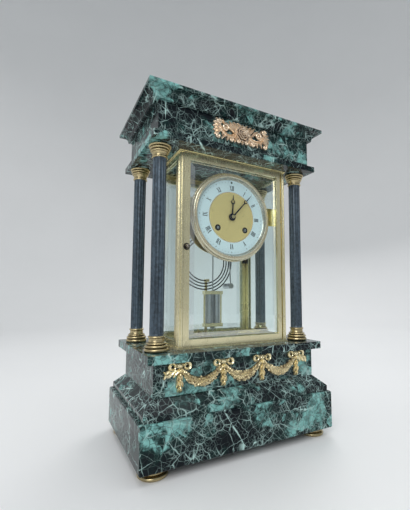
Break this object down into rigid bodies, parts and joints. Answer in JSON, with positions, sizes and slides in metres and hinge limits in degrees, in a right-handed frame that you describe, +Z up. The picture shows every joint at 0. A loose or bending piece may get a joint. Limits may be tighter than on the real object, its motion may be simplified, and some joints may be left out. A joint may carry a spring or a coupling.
{
  "type": "portico clock",
  "caption": "Portico mantel clock: glazed brass case with dial, striking movement and pendulum between fluted columns, on a stepped marble plinth under a marble cornice.",
  "frame": {"origin": "centre of the box's underside, where the feet stand", "axes": "+Z up, dial faces -Y, +X to the viewer's right when facing the dial"},
  "size_m": [0.264, 0.164, 0.43],
  "materials": {
    "green_marble": "polished, dark green with pale veins",
    "dark_column": "fluted, dark patinated",
    "turned_brass": "turned, aged polish",
    "case_brass": "polished, lightly aged",
    "clear_glass": "clear, bevelled on the doors",
    "dark_steel": "blackened",
    "rose_gilt": "cast and gilt, matted",
    "yellow_gilt": "cast and gilt, burnished highlights",
    "gilt_bezel": "turned and gilt",
    "white_enamel": "white vitreous enamel with black numerals",
    "matted_gilt": "matted gilt",
    "blued_steel": "blued",
    "movement_brass": "satin",
    "bright_steel": "satin"
  },
  "bodies": {
    "clock": {"lower_plinth": "green_marble", "plinth_step": "green_marble", "upper_plinth": "green_marble", "podium_slab": "green_marble", "architrave": "green_marble", "frieze": "green_marble", "cornice": "green_marble", "column_shaft_front_left": "dark_column", "column_shaft_front_right": "dark_column", "column_shaft_rear_left": "dark_column", "column_shaft_rear_right": "dark_column", "bun_feet": "turned_brass", "column_bases": "turned_brass", "column_capitals": "turned_brass", "case_bottom_frame": "case_brass", "case_top_frame": "case_brass", "case_posts": "case_brass", "dial_straps": "case_brass", "side_glass_left": "clear_glass", "side_glass_right": "clear_glass", "tie_rods": "dark_steel", "tie_nuts": "dark_steel", "gong": "dark_steel", "frieze_mount": "rose_gilt", "swag_mount": "yellow_gilt", "bezel": "gilt_bezel", "dial_ring": "white_enamel", "dial_centre": "matted_gilt", "dial_plate": "movement_brass", "front_plate": "movement_brass", "back_plate": "movement_brass", "plate_pillars": "movement_brass", "suspension_cock": "movement_brass", "gong_stand": "movement_brass"},
    "front_door": {"front_door_frame": "case_brass", "front_door_glass": "clear_glass", "front_door_pins": "dark_steel"},
    "front_latch": {"front_door_knob": "case_brass", "front_latch_blade": "dark_steel"},
    "rear_door": {"rear_door_frame": "case_brass", "rear_door_glass": "clear_glass", "rear_door_pins": "dark_steel"},
    "rear_latch": {"rear_door_knob": "case_brass", "rear_latch_blade": "dark_steel"},
    "minute_work": {"centre_arbor": "movement_brass", "minute_hand": "blued_steel", "hand_nut": "movement_brass"},
    "motion_wheel": {"minute_wheel": "movement_brass"},
    "hour_work": {"hour_wheel": "movement_brass", "hour_hand": "blued_steel"},
    "going_barrel": {"going_barrel": "movement_brass"},
    "strike_barrel": {"strike_barrel": "movement_brass"},
    "going_arbor": {"going_arbor": "bright_steel"},
    "strike_arbor": {"strike_arbor": "bright_steel"},
    "escape_wheel": {"escape_wheel": "movement_brass"},
    "pallets": {"pallets": "bright_steel"},
    "pendulum": {"pendulum_rod": "bright_steel", "pendulum_bob": "yellow_gilt", "bob_vials": "bright_steel"},
    "hammer": {"hammer": "bright_steel"}
  },
  "joints": [
    {"name": "front_door_swing", "type": "hinge", "parent": "clock", "child": "front_door", "pos_m": [0.0727, -0.048, 0.246], "axis": [0, 0, 1], "range_deg": [0, 92]},
    {"name": "front_latch_turn", "type": "hinge", "parent": "front_door", "child": "front_latch", "pos_m": [-0.0712, -0.046, 0.247], "axis": [0, 1, 0], "range_deg": [0, 90]},
    {"name": "rear_door_swing", "type": "hinge", "parent": "clock", "child": "rear_door", "pos_m": [-0.0727, 0.048, 0.246], "axis": [0, 0, 1], "range_deg": [0, 92]},
    {"name": "rear_latch_turn", "type": "hinge", "parent": "rear_door", "child": "rear_latch", "pos_m": [0.0712, 0.046, 0.247], "axis": [0, -1, 0], "range_deg": [0, 90]},
    {"name": "minute_hand_turn", "type": "hinge", "parent": "clock", "child": "minute_work", "pos_m": [0, -0.02, 0.2937], "axis": [0, 1, 0], "continuous": true},
    {"name": "motion_wheel_turn", "type": "hinge", "parent": "clock", "child": "motion_wheel", "pos_m": [0.012, -0.03, 0.2937], "axis": [0, 1, 0], "continuous": true},
    {"name": "hour_hand_turn", "type": "hinge", "parent": "clock", "child": "hour_work", "pos_m": [0, -0.035, 0.2937], "axis": [0, 1, 0], "continuous": true},
    {"name": "going_barrel_turn", "type": "hinge", "parent": "clock", "child": "going_barrel", "pos_m": [0.02125, -0.0084, 0.2777], "axis": [0, 1, 0], "continuous": true},
    {"name": "strike_barrel_turn", "type": "hinge", "parent": "clock", "child": "strike_barrel", "pos_m": [-0.02125, -0.0084, 0.2777], "axis": [0, 1, 0], "continuous": true},
    {"name": "going_winding", "type": "hinge", "parent": "clock", "child": "going_arbor", "pos_m": [0.02125, -0.0084, 0.2777], "axis": [0, 1, 0], "continuous": true},
    {"name": "strike_winding", "type": "hinge", "parent": "clock", "child": "strike_arbor", "pos_m": [-0.02125, -0.0084, 0.2777], "axis": [0, 1, 0], "continuous": true},
    {"name": "escape_wheel_turn", "type": "hinge", "parent": "clock", "child": "escape_wheel", "pos_m": [0, -0.0084, 0.3147], "axis": [0, 1, 0], "continuous": true},
    {"name": "pendulum_swing", "type": "hinge", "parent": "clock", "child": "pendulum", "pos_m": [0, 0.0181, 0.3347], "axis": [0, 1, 0], "range_deg": [-4, 4]},
    {"name": "pallet_rock", "type": "hinge", "parent": "clock", "child": "pallets", "pos_m": [0, 0, 0.3347], "axis": [0, 1, 0], "range_deg": [-4, 4]},
    {"name": "hammer_lift", "type": "hinge", "parent": "clock", "child": "hammer", "pos_m": [0.026, 0.015, 0.2707], "axis": [0, -1, 0], "range_deg": [0, 15]}
  ],
  "couplings": [
    {"joint": "motion_wheel_turn", "follows": "minute_hand_turn", "ratio": -0.33333},
    {"joint": "hour_hand_turn", "follows": "minute_hand_turn", "ratio": 0.083333},
    {"joint": "going_barrel_turn", "follows": "minute_hand_turn", "ratio": 0.020833},
    {"joint": "pallet_rock", "follows": "pendulum_swing", "ratio": 1}
  ]
}
